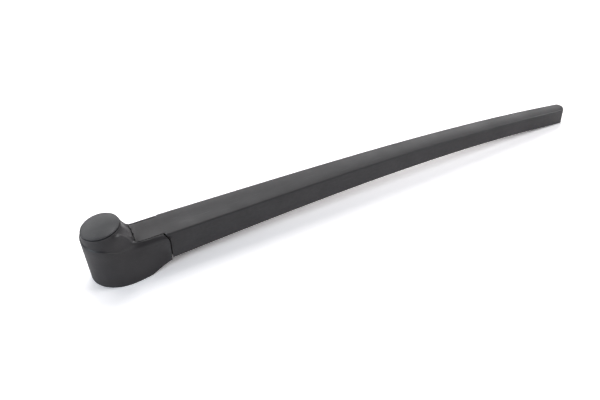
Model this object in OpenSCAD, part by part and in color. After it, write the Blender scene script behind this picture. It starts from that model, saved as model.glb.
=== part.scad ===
// Rear window wiper arm: spindle axis on Z, arm along +X, standing on its drum rim and tip.
// All sizes in millimetres. The drum rim plane is z = 0 and the spindle axis is x = y = 0.

/* [Arm] */
// Spindle axis to the end of the tip
arm_reach = 350; // [280:1:420]
// Width across the arm's shoulders where it leaves the head
arm_root_w = 20; // [17:0.2:24]
// Width across the top of the tip
arm_tip_w = 8.2; // [7:0.2:12]
// Height of the arm's top edges at the shoulders
arm_top_root = 26.5; // [26.5:0.1:30]
// Height that the top edges steer towards in the first third
arm_top_b = 25.4; // [24:0.2:32]
// Height that the top edges steer towards in the last third
arm_top_c = 26.7; // [22:0.1:30]
// Height of the top edges at the tip
arm_top_tip = 11.9; // [10:0.1:16]
// Height of the bottom edges at the shoulders
arm_bot_root = 5.4; // [3:0.2:8]
// Height that the bottom edges steer towards in the first third
arm_bot_b = 10.8; // [8:0.2:14]
// Height that the bottom edges steer towards in the last third
arm_bot_c = 15; // [8:0.2:17]
// Rise of the crowned top over its edges
arm_crown = 1.2; // [0.4:0.1:2]
// Thickness of the side walls
arm_wall = 2; // [1.6:0.1:3]
// Thickness of the roof
arm_roof = 2.2; // [1.8:0.1:3]
// Outward lean of each side wall from its top edge to its bottom edge
arm_draft = 0.35; // [0:0.05:1]
// Rounding of the long top edges
arm_edge_r = 0.6; // [0.4:0.1:1.2]
// Plan rounding of the two tip corners
tip_corner_r = 2.6; // [1:0.1:3.5]
// Solid length behind the tip's end face
tip_solid = 5; // [3:0.5:10]
// Spacing of the cross ribs
rib_pitch = 24; // [16:1:40]
// Thickness of the ribs
rib_t = 1.4; // [1:0.1:2]

/* [Tongue and hinge] */
// Radius of the tongue's rounded rear end about the hinge axis
tongue_r = 13.4; // [13:0.1:14]
// Step from the inside of each arm wall in to the side of the tongue
tongue_step = 0.1; // [0.05:0.05:0.4]
// Thickness of the webs under the tongue's sides
web_t = 1.4; // [1:0.1:1.8]
// Gap between the tongue and the head around it
tongue_gap = 0.5; // [0.3:0.1:0.8]
// Gap between the tongue's end and the deck
slot_gap = 0.8; // [0.6:0.1:1.2]
// Hinge axis from the spindle axis
hinge_x = 28; // [26:0.5:30]
// Hinge axis height
hinge_z = 19.4; // [18:0.1:20.4]
// Hinge pin diameter
hinge_d = 5; // [4:0.1:6]
// Diameter of the rounded ends of the ears and lugs
ear_d = 9.2; // [8.6:0.1:9.2]
// Clearance of the arm around the hub's ears, on the radius
ear_clear = 0.4; // [0.35:0.05:0.6]
// Outer wall of a bush around the pin
bush_wall = 1; // [0.7:0.1:1.2]
// Thickness of a bush flange
bush_flange_t = 0.8; // [0.5:0.1:1]
// Running clearance of the pin in its bushes, on the radius
pin_clear = 0.05; // [0.02:0.01:0.1]

/* [Head shell] */
// From the middle of the crease's oval back to its rear
drum_back = 13.9; // [13.4:0.1:15]
// Half width of the drum at the crease
drum_half = 15.1; // [13.6:0.1:16]
// Forward offset of the crease's oval
drum_shift = 0.3; // [0:0.1:1.5]
// From the middle of the rim's oval back to its rear
rim_back = 21; // [18:0.2:23]
// Half width of the drum at the rim
rim_half = 16; // [14:0.2:18]
// Forward offset of the rim's oval
rim_shift = 9.5; // [6:0.5:11]
// How far the cheeks stand out past the sides of the arm at the crease
cheek_proud = 1.2; // [0.8:0.1:1.6]
// Extra half width of the cheeks at the rim
cheek_flare = 0.4; // [0:0.1:1.5]
// Where the drum has narrowed to the cheeks at the crease
neck_x = 19; // [16:0.5:22]
// Where the drum has narrowed to the cheeks at the rim
rim_neck_x = 42; // [36:0.5:42]
// Height that the crease climbs from the cheeks to the rear of the drum
crease_rise = 8.3; // [4:0.1:9]
// Lean of the collar's top and the cap towards positive y, in degrees
cap_lean_side = 8.8; // [0:0.2:9]
// Lean of the collar's top and the cap towards the rear, in degrees
cap_lean_back = 6.9; // [0:0.1:8]
// Radius of the collar under the cap
collar_r = 12.6; // [12.4:0.1:13]
// Height of the collar's top face
collar_z = 41.2; // [38:0.2:44]
// Radius of the concave sweep from the collar to the deck
sweep_r = 11; // [6:0.5:13]
// How steeply the shoulders fall in front of the collar, per millimetre forward
shoulder_fall = 1.6; // [1.5:0.05:1.9]
// Moulded wall thickness
shell_wall = 2.2; // [1.8:0.1:2.6]
// Thickness of each cheek at the crease
cheek_t = 2.2; // [2:0.1:2.4]
// Rounding of the cheeks' outer top edges
cheek_round = 2.4; // [1:0.1:2.4]
// Radius of the cheek ends about the hinge axis
cheek_end_r = 10.6; // [10:0.1:11]
// Gap between the cheek ends and the arm's shoulders
cheek_gap = 1; // [0.8:0.1:1.4]
// Where the cheeks' lower edge leaves the rim plane
cheek_lift_x = 24; // [20:0.5:28]
// Height of the cheeks' lower front corners
cheek_lift_z = 4.8; // [3:0.2:8]
// Diameter of the opening over the spindle nut
nut_open_d = 19.4; // [18:0.2:20]

/* [Cap] */
// Cap diameter
cap_d = 24.6; // [23:0.1:25]
// Height of the cap's rim band
cap_rim_h = 1.3; // [1:0.1:2]
// Rise of the domed top
cap_dome_h = 1.6; // [0.5:0.1:2.5]
// Thickness of the cap's top
cap_t = 1.8; // [1.4:0.1:2.4]
// Depth of the cap's snap legs below its seat
cap_leg_h = 6; // [4:0.5:8]
// Gap under the cap's rim
cap_seat_gap = 0.04; // [0.02:0.02:0.2]
// Clearance of the snap legs in the opening, on the radius
cap_clear = 0.1; // [0.05:0.05:0.3]

/* [Hub] */
// Large diameter of the tapered spindle socket
socket_d_low = 10; // [8:0.1:12]
// Small diameter of the tapered spindle socket
socket_d_high = 8.6; // [7:0.1:10]
// Height where the socket begins
socket_z = 7; // [6:0.5:9]
// Depth of the tapered socket
socket_h = 9; // [7:0.5:11]
// Number of splines in the socket
spline_n = 24; // [16:1:36]
// Depth of the splines
spline_h = 0.3; // [0.2:0.05:0.5]
// Diameter of the threaded stud's clearance bore
stud_d = 8.2; // [6.2:0.1:8.4]
// Height of the face that the spindle nut tightens on
nut_seat_z = 24; // [22:0.5:26]
// Boss diameter
boss_d = 16.6; // [15:0.2:18]
// Rise of the nut seat over the flange
seat_rise = 1; // [0.6:0.1:1.4]
// Flange diameter
flange_d = 20.6; // [19:0.2:21]
// Flange thickness
flange_t = 2.4; // [2:0.1:3]
// Thickness of each side plate and ear
ear_t = 2.3; // [2:0.1:2.6]
// Spring pin from the spindle axis
hook_pin_x = 19; // [17:0.5:21]
// Spring pin height
hook_pin_z = 9.5; // [8:0.5:10]
// Spring pin diameter
hook_pin_d = 3.5; // [3:0.1:4]
// Outer diameter of the rubber spindle seal
seal_d = 17.4; // [16:0.2:19]
// Height of the seal's lower face
seal_z = 1.6; // [1:0.2:2.6]

/* [Spring] */
// Anchor pin from the spindle axis
anchor_x = 134; // [120:1:150]
// Anchor pin height
anchor_z = 18.6; // [17:0.2:20]
// Anchor pin diameter
anchor_d = 3.5; // [3:0.1:4]
// Spring wire diameter
wire_d = 1.7; // [1.4:0.1:2]
// Mean coil diameter
coil_d = 7.2; // [6.4:0.1:8]
// Number of coils
coil_n = 21; // [12:1:30]
// Length of the steel link between its eye centres
link_l = 30; // [28:0.5:34]
// Thickness of the steel link
link_t = 2.4; // [2:0.1:3]
// Depth of the link's bow under the hinge pin
link_bow = 5.4; // [5:0.2:6]
// Width of the link's bar
link_w = 3.4; // [3:0.1:4]

/* [Blade seat] */
// Blade pin from the end of the tip
blade_pin_back = 17; // [14:0.5:24]
// Blade pin diameter
blade_pin_d = 3; // [2.5:0.1:3.5]
// Blade pin height over the bottom edges
blade_pin_up = 3.4; // [2.6:0.1:4]

/* [Part] */
// Sub-part to show

/* [Hidden] */
$fn = 64;
black = [0.13, 0.13, 0.14];
steel = [0.62, 0.63, 0.65];
zinc = [0.50, 0.51, 0.53];
rubber = [0.07, 0.07, 0.07];
bronze = [0.62, 0.50, 0.30];
root_x = hinge_x + cheek_end_r + cheek_gap;
tongue_w = arm_root_w - 2 * (arm_wall + tongue_step);
neck_half = arm_root_w / 2 + cheek_proud;
head_end_x = hinge_x + cheek_end_r + 4.4;
flange_z = nut_seat_z - seat_rise - flange_t;
beyond = 4 * arm_root_w;
lug_out = tongue_w / 2 - ear_t - 0.25 - bush_flange_t;
lug_t = 2.6;
ear_in = tongue_w / 2 - ear_t + 0.2;
ear_out = ear_in + ear_t;
link_angle = atan2(anchor_z - hook_pin_z, anchor_x - hook_pin_x);
line_l = norm([anchor_x - hook_pin_x, anchor_z - hook_pin_z]);
blade_pin_x = arm_reach - blade_pin_back;

// Cubic curve through a and d, steered by b and c
function bez(a, b, c, d, u) =
    a * pow(1 - u, 3) + 3 * b * u * pow(1 - u, 2) + 3 * c * u * u * (1 - u) + d * pow(u, 3);
// How far x is along the free arm, from 0 at the shoulders to 1 at the tip
function along(x) = max(0, min(1, (x - root_x) / (arm_reach - root_x)));
function top_z(x) = bez(arm_top_root, arm_top_b, arm_top_c, arm_top_tip, along(x));
function bot_z(x) = bez(arm_bot_root, arm_bot_b, arm_bot_c, 0, along(x));
function crown(x) = arm_crown * (1 - 0.6 * along(x));
function straight_half(x) = (arm_root_w + (arm_tip_w - arm_root_w) * along(x)) / 2;
function into_tip(x) = max(0, x - (arm_reach - tip_corner_r));
function half_w(x) =
    straight_half(x) - tip_corner_r + sqrt(max(0, pow(tip_corner_r, 2) - pow(into_tip(x), 2)));
// Height that the concave sweep adds at distance r from the spindle axis
function sweep(r) =
    let (d = min(sweep_r, collar_r + sweep_r - r))
    d <= 0 ? 0 : sweep_r - sqrt(max(0, pow(sweep_r, 2) - d * d));
// Top surface of the deck and of the tongue
function deck(x, y) =
    arm_top_root + arm_crown * (1 - pow(y / (arm_root_w / 2), 2)) + sweep(norm([x, y]));

// Rear end of the tongue at y: its top edge is tongue_r from the hinge axis
function tongue_end(y) =
    hinge_x - sqrt(pow(tongue_r, 2) - pow(deck(hinge_x - 0.7 * tongue_r, y) - hinge_z, 2));

// Faces of a tube of rings that all hold n points, closed by its first and last ring
function ring_faces(rings, n) = concat(
    [[for (j = [0 : n - 1]) j]],
    [for (i = [0 : rings - 2]) for (j = [0 : n - 1])
        [i * n + j, (i + 1) * n + j, i * n + (j + 1) % n]],
    [for (i = [0 : rings - 2]) for (j = [0 : n - 1])
        [i * n + (j + 1) % n, (i + 1) * n + j, (i + 1) * n + (j + 1) % n]],
    [[for (j = [n - 1 : -1 : 0]) (rings - 1) * n + j]]);

// Outer cross section of the arm: crowned top, rounded edges and leaning walls
function arm_ring(x) =
    let (a = half_w(x), b = a + arm_draft, e = arm_edge_r, zt = top_z(x), cr = crown(x))
    let (up = function (y) zt + cr * (1 - pow(y / a, 2)) + sweep(norm([x, y])))
    let (ends = [a - e, a - e - 0.5, (a - e) * 0.66, (a - e) * 0.33], z_edge = zt - e * 0.3 + (up(a - e) - zt) * 0.4)
    concat(
        [[x, b, bot_z(x)], [x, a, zt - e], [x, a - e * 0.3, z_edge]],
        [for (y = ends) [x, y, up(y)]],
        [[x, 0, up(0)]],
        [for (i = [3 : -1 : 0]) [x, -ends[i], up(ends[i])]],
        [[x, -a + e * 0.3, z_edge], [x, -a, zt - e], [x, -b, bot_z(x)]]);
// Cross section of the channel inside the arm
function channel_ring(x) =
    let (a = straight_half(x) - arm_wall, b = a + arm_draft + 0.1, zr = top_z(x) - arm_roof)
    [[x, b, bot_z(x) - 3], [x, a, zr - 0.8], [x, a - 0.8, zr], [x, 0.8 - a, zr], [x, -a, zr - 0.8],
     [x, -b, bot_z(x) - 3]];

// Solid through a list of rings
module loft(rings) {
    n = len(rings[0]);
    polyhedron(points = [for (r = rings) for (p = r) p], faces = ring_faces(len(rings), n), convexity = 8);
}

// Stations along the arm: close together at the tongue, the shoulders and the tip
arm_x = concat(
    [for (i = [0 : 7]) hinge_x - tongue_r - 0.6 + i * 2.2],
    [for (i = [0 : 2]) hinge_x + 4 + i * 3.6],
    [for (i = [0 : 22]) root_x + 4 + i * (arm_reach - tip_corner_r - 0.6 - root_x - 4) / 22],
    [for (i = [0 : 5]) arm_reach - tip_corner_r + tip_corner_r * sin(i * 18)],
    [arm_reach]);
channel_x = [for (i = [0 : 24]) hinge_x - tongue_r - 2 + i * (arm_reach - tip_solid - hinge_x + tongue_r + 2) / 24];

// Cylinder along Y at (x, z), from y = from to y = to
module rod(x, z, d, from, to) {
    translate([x, to, z])
        rotate([90, 0, 0])
            cylinder(d = d, h = to - from);
}

// Point in x and z at radius r and angle a about the hinge axis
function round_hinge(r, a) = [hinge_x + r * cos(a), hinge_z + r * sin(a)];

// Plane figure in x and z, thick along Y between from and to
module slab(from, to) {
    translate([0, to, 0])
        rotate([90, 0, 0])
            linear_extrude(height = to - from)
                children();
}

// Moulded arm: channel, tongue with hinge lugs, spring bosses, ribs and blade pin pads
module arm_shell() {
    shoulder_r = cheek_end_r + cheek_gap;
    rib_from = anchor_x + 14;
    rib_n = floor((arm_reach - blade_pin_back - 12 - rib_from) / rib_pitch);
    color(black)
    difference() {
        union() {
            difference() {
                loft([for (x = arm_x) arm_ring(x)]);
                loft([for (x = channel_x) channel_ring(x)]);
                translate([0, 0, hinge_z])
                    linear_extrude(height = beyond)
                        polygon(concat(
                            [[0, tongue_w], [0, -tongue_w]],
                            [for (i = [-8 : 8]) [tongue_end(i * tongue_w / 15), i * tongue_w / 8]]));
                for (s = [-1, 1])
                    slab(s > 0 ? tongue_w / 2 : -beyond, s > 0 ? beyond : -tongue_w / 2)
                        polygon(concat(
                            [[0, -5], [root_x, -5], [root_x, hinge_z]],
                            [for (i = [1 : 15]) round_hinge(shoulder_r, i * 5)],
                            [round_hinge(shoulder_r, 75) + [0, 20], [0, beyond]]));
            }
            tongue_webs();
            for (s = [-1, 1])
                slab(s > 0 ? lug_out - lug_t : -lug_out, s > 0 ? lug_out : lug_t - lug_out)
                    union() {
                        translate([hinge_x, hinge_z])
                            circle(d = ear_d);
                        translate([hinge_x - ear_d / 2, hinge_z])
                            square([ear_d, arm_top_root - arm_roof + 1 - hinge_z]);
                    }
            for (s = [-1, 1])
                rod(anchor_x, anchor_z, 7, s > 0 ? 3.4 : -straight_half(anchor_x) + 1,
                    s > 0 ? straight_half(anchor_x) - 1 : -3.4);
            for (i = [0 : rib_n])
                cross_rib(rib_from + i * rib_pitch);
            translate([rib_from, -rib_t / 2, 0])
                spine_rib(rib_n * rib_pitch);
            for (s = [-1, 1])
                rod(blade_pin_x, bot_z(blade_pin_x) + blade_pin_up, 5.6,
                    s > 0 ? 2.2 : -straight_half(blade_pin_x) + 0.8,
                    s > 0 ? straight_half(blade_pin_x) - 0.8 : -2.2);
        }
        rod(hinge_x, hinge_z, hinge_d + 2 * bush_wall, -arm_root_w, arm_root_w);
        for (s = [-1, 1])
            rod(hinge_x, hinge_z, ear_d + 2 * ear_clear, s > 0 ? lug_out + bush_flange_t : -arm_root_w,
                s > 0 ? arm_root_w : -lug_out - bush_flange_t);
        rod(anchor_x, anchor_z, anchor_d, 1 - straight_half(anchor_x), straight_half(anchor_x) - 1);
        rod(blade_pin_x, bot_z(blade_pin_x) + blade_pin_up, blade_pin_d,
            0.9 - straight_half(blade_pin_x), straight_half(blade_pin_x) - 0.9);
    }
}

// Webs under the tongue's sides in front of the ears, each with a foot on the arm's wall
module tongue_webs() {
    w = tongue_w / 2;
    z0 = arm_bot_root + 0.6;
    from = hinge_x + ear_d / 2 + 0.8;
    for (s = [-1, 1]) {
        translate([from, s > 0 ? w - web_t : -w, z0])
            cube([root_x + 3 - from, web_t, arm_top_root - arm_roof / 2 - z0]);
        translate([root_x + 1, s > 0 ? w - web_t : -w - arm_wall / 2, z0])
            cube([2, web_t + arm_wall / 2, arm_top_root - arm_roof / 2 - z0]);
    }
}

// Rib across the channel at x, standing from the roof part of the way down
module cross_rib(x) {
    w = straight_half(x) - arm_wall / 2;
    translate([x - rib_t / 2, -w, bot_z(x) + 2.5])
        cube([rib_t, 2 * w, top_z(x) - arm_roof / 2 - bot_z(x) - 2.5]);
}

// Rib along the middle of the roof between the first and the last cross rib
module spine_rib(l) {
    n = 8;
    x0 = anchor_x + 14;
    rotate([90, 0, 0])
        mirror([0, 0, 1])
            linear_extrude(height = rib_t)
                polygon(concat(
                    [for (i = [0 : n]) [i * l / n, top_z(x0 + i * l / n) - arm_roof / 2]],
                    [for (i = [n : -1 : 0]) [i * l / n, top_z(x0 + i * l / n) - arm_roof - 3]]));
}

// Half outline of the drum and neck from the rear to the front, on the side of negative y:
// a quarter oval about c, then a smooth narrowing from b to h at n
function half_outline(c, a, b, h, n) = concat(
    [for (i = [0 : 13]) [c - a * cos(i * 90 / 14), -b * sin(i * 90 / 14)]],
    [for (i = [0 : 7])
        let (v = i / 8)
        [c + (n - c) * v, -h - (b - h) * (1 - v * v * (3 - 2 * v))]],
    [for (i = [0 : 6]) [n + i * (head_end_x - n) / 7, -h]],
    [for (i = [0 : 2]) [head_end_x, -h * (1 - i / 3)]],
    [[head_end_x, 0]]);
// The matching points of the collar circle, for a half outline of m points
function half_collar(r, m) = concat(
    [for (i = [0 : 13]) [-r * cos(i * 90 / 14), -r * sin(i * 90 / 14)]],
    [for (i = [14 : m - 1])
        let (a = 90 + 90 * (i - 14) / (m - 1 - 14))
        [-r * cos(a), -r * sin(a)]]);
function whole(half) =
    concat(half, [for (i = [len(half) - 2 : -1 : 1]) [half[i][0], -half[i][1]]]);
// 0 up to a, 1 from b on, smooth between
function ease(x, a, b) =
    let (v = max(0, min(1, (x - a) / (b - a))))
    v * v * (3 - 2 * v);
// Height of the crease at x
function crease_z(x) = deck(neck_x + 6, neck_half - 1) + crease_rise * (1 - ease(x, -6, neck_x - 2));
// Height of the collar's leaning top plane at p
function collar_top(p) =
    collar_z + p[0] * tan(cap_lean_back) / cos(cap_lean_side) - p[1] * tan(cap_lean_side);
// Straight fall of the shoulders in front of the collar
function shoulder(p) =
    collar_z - 0.9 - shoulder_fall * (p[0] - 10) - 0.06 * pow(max(0, abs(p[1]) - 6), 2);
// Top of the head at p, which lies the part s of the way from the crease point q to the collar
function head_top(p, q, s) =
    let (front = ease(q[0], -4, 13), foot = collar_top(p) - 0.9)
    let (cone = crease_z(q[0]) + (foot - crease_z(q[0])) * pow(s, 1.15), low = deck(p[0], p[1]))
    let (full = low + max(0, shoulder(p) - low) * ease(s, 0, 0.5))
    cone * (1 - front) + min(full, foot) * front;

// Closed body of the head: wall from the rim to the crease, shoulder, deck and sweep up to the collar.
// inset moves the wall and the collar inwards and drop lowers the top.
module head_body(inset, neck_inset, drop, low) {
    top_o = whole(half_outline(drum_shift, drum_back - inset, drum_half - inset, neck_half - neck_inset, neck_x));
    top_i = whole(half_outline(drum_shift, drum_back - inset - cheek_round, drum_half - inset - cheek_round,
        neck_half - neck_inset - cheek_round, neck_x));
    rim_o = whole(half_outline(rim_shift, rim_back - inset, rim_half - inset,
        neck_half + cheek_flare - neck_inset, rim_neck_x));
    col_o = whole(half_collar(collar_r - inset, (len(top_o) + 2) / 2));
    e = [for (q = top_o) inset > 0 ? 0.3 : 0.7 + (cheek_round - 0.7) * ease(q[0], 4, neck_x)];
    in_o = [for (i = [0 : len(top_o) - 1]) top_o[i] + (top_i[i] - top_o[i]) * e[i] / cheek_round];
    z_at = function (i) head_top(top_o[i], top_o[i], 0) - drop;
    n = len(top_o);
    rings = concat(
        [[for (p = rim_o) [p[0], p[1], low]]],
        [for (s = [0.1, 0.35, 0.6, 0.85])
            [for (i = [0 : n - 1])
                let (p = rim_o[i] + (top_o[i] - rim_o[i]) * s)
                [p[0], p[1], (z_at(i) - e[i]) * s]]],
        [for (a = [0, 30, 60])
            [for (i = [0 : n - 1])
                let (p = in_o[i] + (top_o[i] - in_o[i]) * cos(a))
                [p[0], p[1], z_at(i) - e[i] * (1 - sin(a))]]],
        [for (s = [0, 0.1, 0.25, 0.4, 0.55, 0.7, 0.85, 1])
            [for (i = [0 : n - 1])
                let (p = in_o[i] + (col_o[i] - in_o[i]) * s)
                [p[0], p[1], head_top(p, top_o[i], s) - drop]]],
        [[for (p = col_o) [p[0], p[1], collar_top(p) - (inset > 0 ? 2.8 : 0)]]]);
    loft(rings);
}

// Places children on the collar's leaning top plane
module on_collar() {
    translate([0, 0, collar_z])
        rotate([-cap_lean_side, 0, 0])
            rotate([0, -cap_lean_back, 0])
                children();
}

// What lies in front of the cheeks' rounded ends and under their rising lower edge
module cheek_cut() {
    slab(-beyond, beyond)
        polygon(concat(
            [[cheek_lift_x, -3], [cheek_lift_x, 0], [hinge_x + cheek_end_r, cheek_lift_z]],
            [for (i = [0 : 14]) round_hinge(cheek_end_r, i * 5)],
            [round_hinge(cheek_end_r, 70) + [0, 30], [beyond, beyond], [beyond, -3]]));
}

// Moulded head: drum, collar, deck and the two cheeks, hollow and open below
module head_shell() {
    hold_r = flange_d / 2 + 0.1;
    lip_r = nut_open_d / 2 - 0.2;
    color(black)
    difference() {
        union() {
            difference() {
                head_body(0, 0, 0, 0);
                head_body(shell_wall, cheek_t, shell_wall, -1);
            }
            translate([0, 0, flange_z - 1.4])
                rotate_extrude()
                    polygon([[hold_r, 1.2], [hold_r, flange_t + 1.4], [lip_r, flange_t + 1.4],
                             [lip_r, flange_t + 3.2], [hold_r + 1.2, flange_t + 3.2],
                             [hold_r + 1.2, 0], [hold_r + 0.4, 0]]);
            for (s = [-1, 1])
                translate([-0.8, s > 0 ? hold_r + 0.8 : -hold_r - 4, flange_z - 1])
                    cube([1.6, 3.2, flange_t + 3]);
        }
        cheek_cut();
        slab(-tongue_w / 2 - tongue_gap, tongue_w / 2 + tongue_gap)
            polygon(concat(
                [[beyond, hinge_z], [hinge_x - tongue_r - slot_gap, hinge_z]],
                [for (i = [1 : 14]) round_hinge(tongue_r + slot_gap, 180 - i * 5)],
                [round_hinge(tongue_r + slot_gap, 110) + [0, 20], [beyond, beyond]]));
        on_collar()
            translate([0, 0, -7])
                cylinder(d = nut_open_d, h = 10);
    }
}

// Cap over the spindle nut: domed disc with four snap legs
module nut_cap() {
    r = cap_d / 2;
    leg_r = nut_open_d / 2 - cap_clear;
    dome_r = (r * r + cap_dome_h * cap_dome_h) / (2 * cap_dome_h);
    color(black)
    on_collar()
        translate([0, 0, cap_seat_gap])
            union() {
                rotate_extrude($fn = 96)
                    polygon(concat(
                        [[0, cap_rim_h + cap_dome_h - cap_t], [leg_r, cap_rim_h - 0.4], [leg_r, 0],
                         [r - 0.7, 0], [r, 0.5], [r, cap_rim_h - 0.3], [r - 0.3, cap_rim_h]],
                        [for (i = [1 : 9])
                            let (x = (r - 0.9) * (1 - i / 10))
                            [x, cap_rim_h + cap_dome_h - dome_r + sqrt(dome_r * dome_r - x * x)]],
                        [[0, cap_rim_h + cap_dome_h]]));
                for (a = [45 : 90 : 315])
                    translate([0, 0, -cap_leg_h])
                        rotate([0, 0, a - 18])
                            rotate_extrude(angle = 36)
                                polygon([[leg_r - 1.7, 0], [leg_r - 0.7, 0], [leg_r - 0.2, 0.8],
                                         [leg_r - 0.2, cap_leg_h + 1.4],
                                         [leg_r - 1.7, cap_leg_h + 1.4]]);
            }
}

// Die-cast hub: tapered splined socket, nut seat, flange and the two hinge ears
module hub() {
    socket_top = socket_z + socket_h;
    color(zinc)
    difference() {
        union() {
            translate([0, 0, socket_z - 1.4])
                cylinder(d = boss_d, h = nut_seat_z - socket_z + 1.4);
            translate([0, 0, flange_z])
                cylinder(d = flange_d, h = flange_t);
            for (s = [-1, 1])
                slab(s > 0 ? ear_in : -ear_out, s > 0 ? ear_out : -ear_in)
                    union() {
                        translate([hinge_x, hinge_z])
                            circle(d = ear_d);
                        polygon([[3, socket_z - 1.4], [9, socket_z - 1.4], [11, 5], [hinge_x - 2, 5],
                                 [hinge_x + ear_d / 2, 11], [hinge_x + ear_d / 2, hinge_z],
                                 [hinge_x - ear_d / 2, hinge_z], [hinge_x - ear_d / 2, 14.5],
                                 [hinge_x - 7, 12.4], [9, 12.4], [3, 16]]);
                    }
        }
        translate([0, 0, socket_z - 2])
            cylinder(d = socket_d_low + 0.4, h = 2);
        translate([0, 0, socket_z - 0.01])
            cylinder(d1 = socket_d_low, d2 = socket_d_high, h = socket_h + 0.01);
        for (i = [0 : spline_n - 1])
            rotate([0, 0, i * 360 / spline_n])
                spline_groove();
        translate([0, 0, socket_top - 0.01])
            cylinder(d = stud_d, h = nut_seat_z - socket_top + 1);
        rod(hinge_x, hinge_z, hinge_d, -arm_root_w, arm_root_w);
        rod(hook_pin_x, hook_pin_z, hook_pin_d, -arm_root_w, arm_root_w);
    }
}

// One V groove down the socket's wall
module spline_groove() {
    lean = atan2((socket_d_low - socket_d_high) / 2, socket_h);
    translate([socket_d_low / 2, 0, socket_z])
        rotate([0, -lean, 0])
            rotate([0, 0, 45])
                translate([-spline_h * 0.7, -spline_h * 0.7, -1])
                    cube([spline_h * 1.4, spline_h * 1.4, socket_h]);
}

// Rubber ring under the hub, closing the drum around the spindle
module spindle_seal() {
    h = socket_z - 1.4 - seal_z;
    color(rubber)
    translate([0, 0, seal_z])
        rotate_extrude()
            polygon([[socket_d_low / 2 + 0.6, 0.6], [socket_d_low / 2 + 1.6, 0], [seal_d / 2 - 1.6, 0],
                     [seal_d / 2, 1], [seal_d / 2 - 0.6, h], [socket_d_low / 2 + 1, h]]);
}

// Steel pin pressed through the hub's ears
module hinge_pin() {
    color(steel)
    rod(hinge_x, hinge_z, hinge_d, -ear_out, ear_out);
}

// Steel pin across the hub that the link hooks on
module hook_pin() {
    color(steel)
    rod(hook_pin_x, hook_pin_z, hook_pin_d, -ear_out, ear_out);
}

// Steel rivet across the arm that holds the spring
module anchor_pin() {
    w = straight_half(anchor_x) - 1;
    color(steel)
    rod(anchor_x, anchor_z, anchor_d, -w, w);
}

// Steel pin across the tip that the blade's clip snaps on
module blade_pin() {
    w = straight_half(blade_pin_x) - 0.9;
    color(steel)
    rod(blade_pin_x, bot_z(blade_pin_x) + blade_pin_up, blade_pin_d, -w, w);
}

// Flanged bush in one lug of the tongue, flange on the side of the ear
module bush(side) {
    color(bronze)
    translate([hinge_x, side * (lug_out + bush_flange_t), hinge_z])
        rotate([side * 90, 0, 0])
            difference() {
                union() {
                    cylinder(d = hinge_d + 2 * bush_wall, h = lug_t + bush_flange_t);
                    cylinder(d = ear_d - 0.6, h = bush_flange_t);
                }
                translate([0, 0, -1])
                    cylinder(d = hinge_d + 2 * pin_clear, h = lug_t + bush_flange_t + 2);
            }
}

module bush_left() {
    bush(1);
}

module bush_right() {
    bush(-1);
}

// Places children on the spring's line of pull: X along it from the spring pin, Z across it
module on_line() {
    translate([hook_pin_x, 0, hook_pin_z])
        rotate([0, -link_angle, 0])
            children();
}

// Bowed steel link from the spring pin to the spring
module spring_link() {
    bow_r = link_l * link_l / 8 / link_bow + link_bow / 2;
    half_a = asin(link_l / 2 / bow_r);
    color(steel)
    on_line()
        slab(-link_t / 2, link_t / 2)
            difference() {
                union() {
                    polygon(concat(
                        [for (i = [-10 : 10])
                            [link_l / 2 + (bow_r + link_w / 2) * sin(i * half_a / 10),
                             bow_r - link_bow - (bow_r + link_w / 2) * cos(i * half_a / 10)]],
                        [for (i = [10 : -1 : -10])
                            [link_l / 2 + (bow_r - link_w / 2) * sin(i * half_a / 10),
                             bow_r - link_bow - (bow_r - link_w / 2) * cos(i * half_a / 10)]]));
                    circle(d = hook_pin_d + 4);
                    translate([link_l, 0])
                        circle(d = wire_d + 4.8);
                }
                circle(d = hook_pin_d + 2 * pin_clear);
                translate([link_l, 0])
                    circle(d = wire_d + 0.9);
            }
}

// Centre line of the spring wire: loop in the link, coils, loop round the anchor pin
loop_r = 3;
end_r = anchor_d / 2 + wire_d / 2 + 0.05;
coil_x0 = link_l + loop_r + 3.4;
coil_x1 = line_l - end_r - 5;
coil_a = 360 * coil_n + 270;
spring_path = concat(
    [for (a = [40 : 20 : 300]) [link_l + loop_r + loop_r * cos(a), loop_r * sin(a), 0]],
    [for (i = [1 : 3])
        let (a = 180 + i * 20, r = loop_r + (coil_d / 2 - loop_r) * i / 4)
        [link_l + loop_r * 1.5 + (coil_x0 - link_l - loop_r * 1.5) * i / 4, r * cos(a), r * sin(a)]],
    [for (a = [80 : 22.5 : coil_a])
        [coil_x0 + (coil_x1 - coil_x0) * (a - 80) / (coil_a - 80),
         coil_d / 2 * cos(180 + a), coil_d / 2 * sin(180 + a)]],
    [[coil_x1 + 1.4, 0.6, coil_d / 2 - 0.2], [coil_x1 + 3.2, 0.1, end_r + 0.3]],
    [for (a = [90 : -20 : -170]) [line_l + end_r * cos(a), 0, end_r * sin(a)]]);

function unit(v) = v / norm(v);
// Direction of the path at each of its points
function headings(p) =
    [for (i = [0 : len(p) - 1]) unit(p[min(i + 1, len(p) - 1)] - p[max(i - 1, 0)])];
// Vectors across the path that turn no more than the path itself
function carried(t) =
    [for (i = 0, n = unit(cross(t[0], [0, 0, 1])); i < len(t);
        i = i + 1, n = i < len(t) ? unit(n - (n * t[i]) * t[i]) : n) n];

module tension_spring() {
    sides = 6;
    t = headings(spring_path);
    n = carried(t);
    rings = [for (i = [0 : len(t) - 1])
        let (b = cross(t[i], n[i]))
        [for (k = [0 : sides - 1])
            spring_path[i] + wire_d / 2 * (n[i] * cos(k * 360 / sides) + b * sin(k * 360 / sides))]];
    color(steel)
    on_line()
        polyhedron(points = [for (r = rings) for (p = r) p],
            faces = ring_faces(len(rings), sides), convexity = 10);
}

head_shell();
nut_cap();
hub();
spindle_seal();
hinge_pin();
hook_pin();
spring_link();
tension_spring();
arm_shell();
bush_left();
bush_right();
anchor_pin();
blade_pin();
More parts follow.
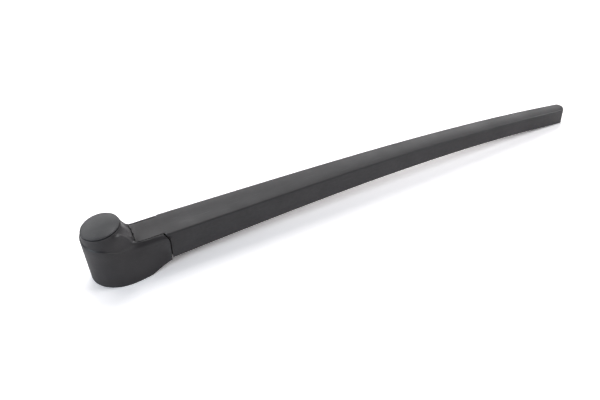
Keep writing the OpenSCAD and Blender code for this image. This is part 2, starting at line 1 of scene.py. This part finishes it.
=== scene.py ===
import bpy
import math
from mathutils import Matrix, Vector


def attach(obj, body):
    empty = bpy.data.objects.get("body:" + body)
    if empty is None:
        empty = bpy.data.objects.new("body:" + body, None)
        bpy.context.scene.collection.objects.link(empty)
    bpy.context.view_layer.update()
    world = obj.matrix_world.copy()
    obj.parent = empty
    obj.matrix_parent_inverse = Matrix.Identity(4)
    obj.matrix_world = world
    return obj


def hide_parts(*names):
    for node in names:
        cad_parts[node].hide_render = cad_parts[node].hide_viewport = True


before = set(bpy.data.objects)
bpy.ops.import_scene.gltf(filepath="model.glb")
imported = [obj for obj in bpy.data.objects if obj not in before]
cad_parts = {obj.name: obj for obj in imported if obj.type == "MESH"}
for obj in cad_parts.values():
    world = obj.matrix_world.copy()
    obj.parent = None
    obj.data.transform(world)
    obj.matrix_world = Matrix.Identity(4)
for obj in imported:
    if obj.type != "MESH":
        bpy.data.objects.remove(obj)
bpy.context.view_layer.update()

MM = 0.001

MERGE_WITHIN = 0.004 * MM    # CAD vertices nearer than this become one
FLAT_WITHIN = 0.05           # degrees between CAD faces that are joined up as one flat face
SHARP_FROM = 40              # degrees at an edge from which it is broken


# ---------------------------------------------------------------- hand tools

def deselect():
    if bpy.context.object and bpy.context.object.mode != "OBJECT":
        bpy.ops.object.mode_set(mode="OBJECT")
    bpy.ops.object.select_all(action="DESELECT")


def pick(piece):
    """Makes one piece the only selected and active one."""
    deselect()
    piece.select_set(True)
    bpy.context.view_layer.objects.active = piece


def settle(piece):
    """Puts the piece's place, turn and scale into its mesh."""
    pick(piece)
    bpy.ops.object.transform_apply(location=True, rotation=True, scale=True)


def copy_of(node, name):
    """A merged copy of a CAD node with its flat faces joined up."""
    deselect()
    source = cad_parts[node]
    piece = source.copy()
    piece.data = source.data.copy()
    piece.name = piece.data.name = name
    bpy.context.scene.collection.objects.link(piece)
    piece.parent = None
    piece.data.materials.clear()
    pick(piece)
    bpy.ops.object.mode_set(mode="EDIT")
    bpy.ops.mesh.select_all(action="SELECT")
    bpy.ops.mesh.remove_doubles(threshold=MERGE_WITHIN)
    bpy.ops.mesh.dissolve_limited(angle_limit=math.radians(FLAT_WITHIN))
    bpy.ops.object.mode_set(mode="OBJECT")
    return piece


def soften(piece, width):
    """Breaks the sharp edges of a piece with a small bevel."""
    pick(piece)
    bevel = piece.modifiers.new("broken edges", "BEVEL")
    bevel.width = width
    bevel.segments = 2
    bevel.limit_method = "ANGLE"
    bevel.angle_limit = math.radians(SHARP_FROM)
    bpy.ops.object.modifier_apply(modifier=bevel.name)


def smooth(piece, angle, flats):
    """Smooth shading. With flats, wide flat faces stay flat and only the narrow ones turn."""
    pick(piece)
    bpy.ops.object.shade_smooth_by_angle(angle=math.radians(angle))
    if flats:
        even = piece.modifiers.new("even shading", "WEIGHTED_NORMAL")
        even.mode = "FACE_AREA"
        even.weight = 50
        even.keep_sharp = True
        bpy.ops.object.modifier_apply(modifier=even.name)


# ---------------------------------------------------------------- node tools

COLOUR_A, COLOUR_B, COLOUR_OUT = 6, 7, 2    # a Mix node's colour sockets, which share their names


def feed(tree, socket, value):
    """Links another node's output to the socket, or sets a plain number or colour there."""
    if hasattr(value, "is_linked"):
        tree.links.new(value, socket)
    else:
        socket.default_value = value


def ranged(tree, value, low, high, to_low=0.0, to_high=1.0):
    """Turns the range low to high of a value into to_low to to_high."""
    node = tree.nodes.new("ShaderNodeMapRange")
    for label, number in (("Value", value), ("From Min", low), ("From Max", high),
                          ("To Min", to_low), ("To Max", to_high)):
        feed(tree, node.inputs[label], number)
    return node.outputs["Result"]


def sums(tree, how, a, b):
    """One Math node: how is ADD, SUBTRACT or MULTIPLY."""
    node = tree.nodes.new("ShaderNodeMath")
    node.operation = how
    feed(tree, node.inputs[0], a)
    feed(tree, node.inputs[1], b)
    return node.outputs["Value"]


def noise(tree, vector, scale, detail, rough=0.5):
    """Noise from 0 to 1, with scale in patches per metre."""
    node = tree.nodes.new("ShaderNodeTexNoise")
    for label, value in (("Vector", vector), ("Scale", scale),
                         ("Detail", detail), ("Roughness", rough)):
        feed(tree, node.inputs[label], value)
    return node.outputs["Fac"]


def blended(tree, mask, a, b):
    """Colour a where the mask is 0 and colour b where it is 1."""
    node = tree.nodes.new("ShaderNodeMix")
    node.data_type = "RGBA"
    feed(tree, node.inputs["Factor"], mask)
    for i, colour in ((COLOUR_A, a), (COLOUR_B, b)):
        feed(tree, node.inputs[i], colour if hasattr(colour, "is_linked") else (*colour, 1))
    return node.outputs[COLOUR_OUT]


def layered(tree, mask, lower, upper):
    """Shader lower where the mask is 0 and shader upper where it is 1."""
    both = tree.nodes.new("ShaderNodeMixShader")
    for i, value in enumerate((mask, lower, upper)):
        feed(tree, both.inputs[i], value)
    return both.outputs[0]


def group(name, inputs, outputs):
    """A new node group with named inputs (label, kind, value) and number outputs."""
    tree = bpy.data.node_groups.new(name, "ShaderNodeTree")
    for label, kind, value in inputs:
        socket = tree.interface.new_socket(name=label, in_out="INPUT", socket_type=kind)
        if value is not None:
            socket.default_value = value
    for label in outputs:
        tree.interface.new_socket(name=label, in_out="OUTPUT", socket_type="NodeSocketFloat")
    return tree, tree.nodes.new("NodeGroupInput"), tree.nodes.new("NodeGroupOutput")


# ------------------------------------------------------------------ finishes

VECTOR_INPUT = ("Vector", "NodeSocketVector", None)
GRAIN_DEPTH = 0.06 * MM      # height of the bumps on plastic at full strength
LINE_DEPTH = 0.02 * MM       # and on metal
PLASTIC_MARKS = 38.0         # smudges per metre on plastic


def make_grain():
    """Spark-eroded mould grain: a fine pebble height with slow patches of gloss."""
    roundness = 0.6
    fine_scale, fine_height = 1.7, 0.5          # the finer grain beside the pebbles
    tree, come, go = group("mould grain", [
        VECTOR_INPUT,
        ("Pebbles per metre", "NodeSocketFloat", 2600.0),
        ("Patch size", "NodeSocketFloat", 60.0)],
        ["Height", "Gloss patches"])
    place, pebbles = come.outputs["Vector"], come.outputs["Pebbles per metre"]
    cells = tree.nodes.new("ShaderNodeTexVoronoi")
    cells.feature = "SMOOTH_F1"
    feed(tree, cells.inputs["Smoothness"], roundness)
    feed(tree, cells.inputs["Vector"], place)
    feed(tree, cells.inputs["Scale"], pebbles)
    fine = noise(tree, place, sums(tree, "MULTIPLY", pebbles, fine_scale), 3)
    feed(tree, go.inputs["Height"], sums(tree, "ADD", cells.outputs["Distance"],
                                         sums(tree, "MULTIPLY", fine, fine_height)))
    patches = noise(tree, place, come.outputs["Patch size"], 4)
    feed(tree, go.inputs["Gloss patches"], ranged(tree, patches, 0.35, 0.65))
    return tree


def make_handling():
    """Faint smudges and rub lines that run with the arm."""
    drawn_out = (0.12, 2.0, 2.0)                # the lines are long in X, the arm's length
    lines_per_smudge = 18.0
    tree, come, go = group("handling marks", [
        VECTOR_INPUT, ("Scale", "NodeSocketFloat", 40.0)], ["Smudge", "Rub"])
    place, scale = come.outputs["Vector"], come.outputs["Scale"]
    broad = noise(tree, place, scale, 5, 0.6)
    feed(tree, go.inputs["Smudge"], ranged(tree, broad, 0.48, 0.72))
    stretch = tree.nodes.new("ShaderNodeMapping")
    feed(tree, stretch.inputs["Scale"], drawn_out)
    feed(tree, stretch.inputs["Vector"], place)
    lines = noise(tree, stretch.outputs["Vector"],
                  sums(tree, "MULTIPLY", scale, lines_per_smudge), 3)
    feed(tree, go.inputs["Rub"], ranged(tree, lines, 0.60, 0.74))
    return tree


def make_edge_wear():
    """Edges that moulding and handling leave a shade paler, broken up by specks."""
    specks_per_metre, least_wear = 500.0, 0.45
    tree, come, go = group("edge wear", [
        VECTOR_INPUT,
        ("Pointiness", "NodeSocketFloat", 0.5),
        ("Start", "NodeSocketFloat", 0.53),
        ("Full", "NodeSocketFloat", 0.62)],
        ["Mask"])
    edge = ranged(tree, come.outputs["Pointiness"], come.outputs["Start"], come.outputs["Full"])
    specks = noise(tree, come.outputs["Vector"], specks_per_metre, 3)
    broken = ranged(tree, specks, 0.3, 0.7, least_wear, 1.0)
    feed(tree, go.inputs["Mask"], sums(tree, "MULTIPLY", edge, broken))
    return tree


GRAIN, HANDLING, EDGE_WEAR = make_grain(), make_handling(), make_edge_wear()


def start(name):
    """A material with its shader linked up, and the object's own coordinates."""
    material = bpy.data.materials.new(name)
    material.use_nodes = True
    tree = material.node_tree
    tree.nodes.clear()
    shader = tree.nodes.new("ShaderNodeBsdfPrincipled")
    out = tree.nodes.new("ShaderNodeOutputMaterial")
    feed(tree, out.inputs["Surface"], shader.outputs["BSDF"])
    place = tree.nodes.new("ShaderNodeTexCoord").outputs["Object"]
    return material, tree, shader, place


def placed(tree, made, place, **values):
    """A shared group in a material's tree; a space in an input's name is written _ here."""
    node = tree.nodes.new("ShaderNodeGroup")
    node.node_tree = made
    feed(tree, node.inputs["Vector"], place)
    for label, value in values.items():
        feed(tree, node.inputs[label.replace("_", " ")], value)
    return node


def raised(tree, shader, height, strength, distance):
    """Turns a height into a bump on the shader."""
    bump = tree.nodes.new("ShaderNodeBump")
    feed(tree, bump.inputs["Strength"], strength)
    feed(tree, bump.inputs["Distance"], distance)
    feed(tree, bump.inputs["Height"], height)
    feed(tree, shader.inputs["Normal"], bump.outputs["Normal"])


def moulded(name, dark, light, edge, rough, grain, strength):
    """Black moulded plastic with mould grain, faint handling marks and paler edges."""
    rub_share, edge_share = 0.35, 0.8           # how far lines and edges turn to the edge colour
    matt_step, gloss_step, smudge_step = 0.05, 0.03, 0.06       # changes of the roughness
    material, tree, shader, place = start(name)
    pebble = placed(tree, GRAIN, place, Pebbles_per_metre=grain)
    marks = placed(tree, HANDLING, place, Scale=PLASTIC_MARKS)
    wear = placed(tree, EDGE_WEAR, place)
    geometry = tree.nodes.new("ShaderNodeNewGeometry")
    feed(tree, wear.inputs["Pointiness"], geometry.outputs["Pointiness"])
    patches = pebble.outputs["Gloss patches"]
    base = blended(tree, patches, dark, light)
    rubbed = blended(tree, sums(tree, "MULTIPLY", marks.outputs["Rub"], rub_share), base, edge)
    worn = blended(tree, sums(tree, "MULTIPLY", wear.outputs["Mask"], edge_share), rubbed, edge)
    feed(tree, shader.inputs["Base Color"], worn)
    gloss = ranged(tree, patches, 0.0, 1.0, rough + matt_step, rough - gloss_step)
    smudge = sums(tree, "MULTIPLY", marks.outputs["Smudge"], smudge_step)
    feed(tree, shader.inputs["Roughness"], sums(tree, "SUBTRACT", gloss, smudge))
    feed(tree, shader.inputs["IOR"], 1.5)
    raised(tree, shader, pebble.outputs["Height"], strength, GRAIN_DEPTH)
    return material


def metal(name, dark, light, rough, lines, strength):
    """Bare or plated metal with fine lines and dull patches."""
    smudge_step, rub_step = 0.14, 0.08          # changes of the roughness
    material, tree, shader, place = start(name)
    marks = placed(tree, HANDLING, place, Scale=lines)
    pebble = placed(tree, GRAIN, place, Pebbles_per_metre=5200.0, Patch_size=190.0)
    feed(tree, shader.inputs["Base Color"],
         blended(tree, pebble.outputs["Gloss patches"], dark, light))
    feed(tree, shader.inputs["Metallic"], 1.0)
    smudge = sums(tree, "MULTIPLY", marks.outputs["Smudge"], smudge_step)
    rub = sums(tree, "MULTIPLY", marks.outputs["Rub"], rub_step)
    feed(tree, shader.inputs["Roughness"],
         sums(tree, "SUBTRACT", sums(tree, "ADD", rough, smudge), rub))
    height = sums(tree, "ADD", marks.outputs["Rub"], pebble.outputs["Height"])
    raised(tree, shader, height, strength, LINE_DEPTH)
    return material


ARM_PLASTIC = moulded("grained black arm plastic", dark=(0.031, 0.0285, 0.031),
                      light=(0.037, 0.0345, 0.037), edge=(0.075, 0.075, 0.078),
                      rough=0.46, grain=2600.0, strength=0.35)
CAP_PLASTIC = moulded("black cap plastic", dark=(0.034, 0.034, 0.037),
                      light=(0.041, 0.041, 0.044), edge=(0.085, 0.085, 0.09),
                      rough=0.42, grain=3000.0, strength=0.3)
ZINC = metal("tumbled die-cast zinc", dark=(0.30, 0.31, 0.32), light=(0.40, 0.41, 0.42),
             rough=0.44, lines=60.0, strength=0.5)
STEEL = metal("zinc-plated steel", dark=(0.50, 0.50, 0.50), light=(0.62, 0.62, 0.60),
              rough=0.26, lines=90.0, strength=0.3)
SPRING_STEEL = metal("oiled spring wire", dark=(0.30, 0.30, 0.30), light=(0.42, 0.42, 0.42),
                     rough=0.30, lines=120.0, strength=0.3)
BRONZE = metal("sintered bronze", dark=(0.42, 0.27, 0.12), light=(0.52, 0.36, 0.18),
               rough=0.42, lines=80.0, strength=0.6)
RUBBER = moulded("spindle seal rubber", dark=(0.016, 0.016, 0.016),
                 light=(0.022, 0.022, 0.022), edge=(0.05, 0.05, 0.05),
                 rough=0.68, grain=1800.0, strength=0.25)


# -------------------------------------------------------------------- pieces

# CAD node, piece, finish, body, slot, broken edges in mm, smoothing angle, flats stay flat
PIECES = (
    ("head_shell", "head_moulding", ARM_PLASTIC, "head", "black_plastic", 0, 38, False),
    ("nut_cap", "cap_moulding", CAP_PLASTIC, "cap", "black_plastic", 0, 30, True),
    ("arm_shell", "arm_moulding", ARM_PLASTIC, "arm", "black_plastic", 0, 42, False),
    ("hub", "hub_casting", ZINC, "head", "zinc", 0.2, 35, True),
    ("spindle_seal", "seal_ring", RUBBER, "head", "rubber", 0.15, 35, True),
    ("hinge_pin", "hinge_pin_turned", STEEL, "head", "steel", 0.3, 35, True),
    ("hook_pin", "hook_pin_turned", STEEL, "head", "steel", 0.3, 35, True),
    ("spring_link", "link_stamping", STEEL, "link", "steel", 0.2, 35, True),
    ("bush_left", "left_bush", BRONZE, "arm", "bronze", 0.1, 35, True),
    ("bush_right", "right_bush", BRONZE, "arm", "bronze", 0.1, 35, True),
    ("anchor_pin", "anchor_rivet", STEEL, "arm", "steel", 0.3, 35, True),
    ("blade_pin", "blade_pin_turned", STEEL, "arm", "steel", 0.25, 35, True),
    ("tension_spring", "spring_winding", SPRING_STEEL, "arm", "steel", 0, 75, True))

for node, name, material, body, slot, broken, angle, flats in PIECES:
    piece = copy_of(node, name)
    if broken:
        soften(piece, broken * MM)
    smooth(piece, angle, flats)
    piece.data.materials.append(material)
    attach(piece, body)
    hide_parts(node)


# --------------------------------------------------------------------- stage

FLOOR_MIDDLE = (0.15, 0, 0)
FLOOR_WIDTH = 8
FADE_FROM, FADE_TO = 0.30, 0.75     # metres from the middle where the floor turns plain white
SEEN_GREY, LIT_GREY = 1.50, 0.84    # the floor as the camera sees it, and as it lights the arm
WARMTH = 0.965                      # green and blue beside red, against the fills' blue
SKY_LIGHT = 0.08                    # strength of the white room, which the camera sees at 1


def matt_white(tree, grey):
    """Matt paper of a given grey, a touch warm."""
    shade = tree.nodes.new("ShaderNodeBsdfDiffuse")
    feed(tree, shade.inputs["Color"], (grey, grey * WARMTH, grey * WARMTH, 1))
    return shade.outputs[0]


def floor():
    """Pale paper floor. The camera sees it brighter than it lights the arm, plain white away
    from the arm, and not at all from below."""
    deselect()
    bpy.ops.mesh.primitive_plane_add(size=FLOOR_WIDTH, location=FLOOR_MIDDLE)
    ground = bpy.context.object
    ground.name = "floor"
    settle(ground)
    material = bpy.data.materials.new("pale floor")
    material.use_nodes = True
    tree = material.node_tree
    tree.nodes.clear()
    away = tree.nodes.new("ShaderNodeVectorMath")
    away.operation = "DISTANCE"
    feed(tree, away.inputs[0], tree.nodes.new("ShaderNodeTexCoord").outputs["Object"])
    feed(tree, away.inputs[1], FLOOR_MIDDLE)
    white = tree.nodes.new("ShaderNodeEmission")
    feed(tree, white.inputs["Color"], (1, 1, 1, 1))
    feed(tree, white.inputs["Strength"], 1.0)
    camera_ray = tree.nodes.new("ShaderNodeLightPath").outputs["Is Camera Ray"]
    under = tree.nodes.new("ShaderNodeNewGeometry").outputs["Backfacing"]
    fade = ranged(tree, away.outputs["Value"], FADE_FROM, FADE_TO)
    seen = layered(tree, fade, matt_white(tree, SEEN_GREY), white.outputs[0])
    both = layered(tree, camera_ray, matt_white(tree, LIT_GREY), seen)
    clear = tree.nodes.new("ShaderNodeBsdfTransparent")
    seen_from_under = sums(tree, "MULTIPLY", camera_ray, under)
    out = tree.nodes.new("ShaderNodeOutputMaterial")
    feed(tree, out.inputs["Surface"], layered(tree, seen_from_under, both, clear.outputs[0]))
    ground.data.materials.append(material)


def sky():
    """A white room that the camera sees at full strength and that lights the arm faintly."""
    world = bpy.data.worlds.new("white room")
    bpy.context.scene.world = world
    world.use_nodes = True
    tree = world.node_tree
    tree.nodes.clear()
    shade = tree.nodes.new("ShaderNodeBackground")
    out = tree.nodes.new("ShaderNodeOutputWorld")
    camera_ray = tree.nodes.new("ShaderNodeLightPath").outputs["Is Camera Ray"]
    feed(tree, shade.inputs["Color"], (1, 1, 1, 1))
    feed(tree, shade.inputs["Strength"], ranged(tree, camera_ray, 0, 1, SKY_LIGHT, 1.0))
    feed(tree, out.inputs["Surface"], shade.outputs[0])


def camera():
    """The photograph's viewpoint, from the fit to its edges."""
    lens = bpy.data.cameras.new("camera")
    lens.lens, lens.sensor_width = 54.517, 36
    lens.clip_start, lens.clip_end = 0.01, 20
    eye = bpy.data.objects.new("camera", lens)
    bpy.context.scene.collection.objects.link(eye)
    eye.location = (-0.05415, -0.3922, 0.43989)
    eye.rotation_euler = (math.radians(45.1286), 0, math.radians(-25.6242))
    bpy.context.scene.camera = eye


def lamp(name, size, place, aim, power, colour):
    """A rectangular area lamp at place, turned towards aim."""
    light = bpy.data.lights.new(name, "AREA")
    light.shape = "RECTANGLE"
    light.size, light.size_y = size
    light.energy = power
    light.color = colour
    stand = bpy.data.objects.new(name, light)
    bpy.context.scene.collection.objects.link(stand)
    stand.location = place
    stand.rotation_mode = "QUATERNION"
    stand.rotation_quaternion = (Vector(aim) - Vector(place)).to_track_quat("-Z", "Y")


WHITE, COOL, COLD = (1, 1, 1), (0.97, 0.985, 1.0), (0.82, 0.92, 1.0)

# name, size, place, aim, watts, colour
LAMPS = (
    ("overhead softbox", (0.35, 0.35), (0.15, 0.40, 0.85), (0.15, 0, 0), 2.7, WHITE),
    ("low back strip", (0.9, 0.4), (0.15, 0.95, 0.30), (0.15, 0, 0), 2.5, WHITE),
    ("back left", (0.5, 0.5), (-0.35, 0.50, 0.45), (0.05, 0, 0.02), 1.6, WHITE),
    ("back right", (0.5, 0.5), (0.70, 0.50, 0.40), (0.35, 0, 0), 2.3, WHITE),
    ("left fill", (0.5, 0.5), (-0.8, -0.15, 0.45), (0.1, 0, 0), 4.8, COLD),
    ("right fill", (0.5, 0.5), (1.10, -0.25, 0.45), (0.2, 0, 0), 7.8, COOL))

floor()
sky()
camera()
for name, size, place, aim, power, colour in LAMPS:
    lamp(name, size, place, aim, power, colour)
bpy.context.scene.view_settings.view_transform = "Standard"

deselect()
